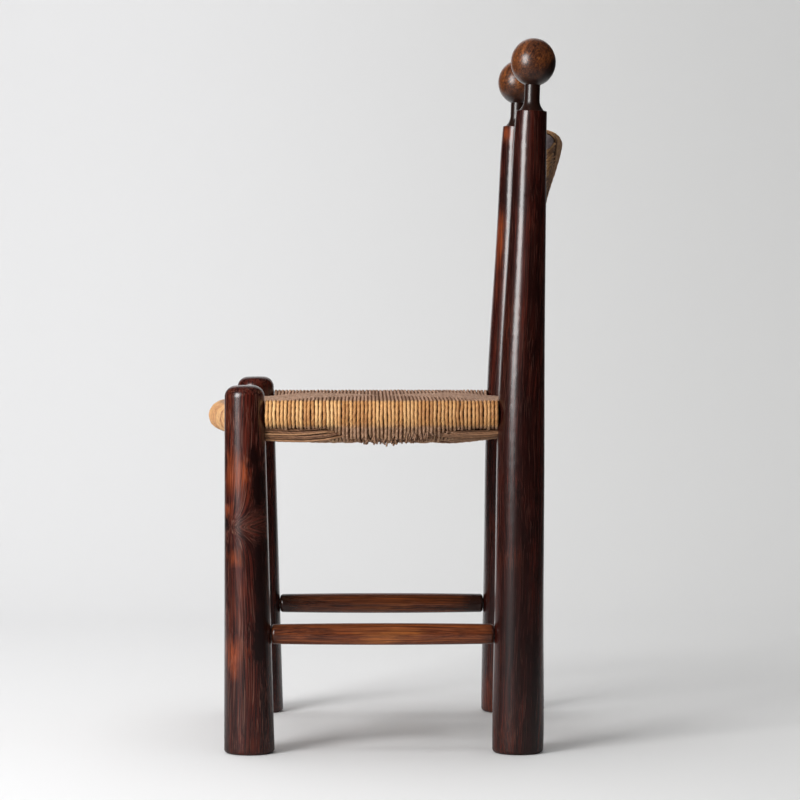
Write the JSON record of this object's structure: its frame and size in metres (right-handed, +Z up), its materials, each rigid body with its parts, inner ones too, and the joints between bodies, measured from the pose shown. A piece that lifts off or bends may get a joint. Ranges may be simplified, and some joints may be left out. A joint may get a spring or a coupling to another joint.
{
  "type": "rush seat side chair",
  "caption": "Side chair with tapered round posts, ball finials, round stretchers, and a seat and a back panel woven of twisted rush over round rails.",
  "frame": {"origin": "on the floor, in the middle of the overall width and depth", "axes": "+Z up; the chair faces -Y; +X is the sitter's left"},
  "size_m": [0.4674, 0.4792, 0.93],
  "materials": {
    "dark_wood": "polished dark rosewood with reddish streaks",
    "brown_wood": "polished orange-brown rosewood",
    "rail_wood": "satin dark hardwood",
    "rush": "dry twisted rush strands, golden tan",
    "stuffing": "loose packed rush offcuts"
  },
  "bodies": {
    "root": {"front_leg_left": "dark_wood", "front_leg_right": "dark_wood", "rear_post_left": "dark_wood", "rear_post_right": "dark_wood", "finial_left": "brown_wood", "finial_right": "brown_wood", "side_stretcher_left": "brown_wood", "side_stretcher_right": "brown_wood", "front_stretcher": "brown_wood", "rear_stretcher": "brown_wood", "seat_rail_front": "rail_wood", "seat_rail_rear": "rail_wood", "seat_rail_left": "rail_wood", "seat_rail_right": "rail_wood", "back_rail_top": "rail_wood", "back_rail_bottom": "rail_wood", "back_side_rod_left": "rail_wood", "back_side_rod_right": "rail_wood", "top_rail_peg_left": "rail_wood", "top_rail_peg_right": "rail_wood", "seat_rush": "rush", "back_rush": "rush", "seat_stuffing": "stuffing"}
  },
  "joints": []
}
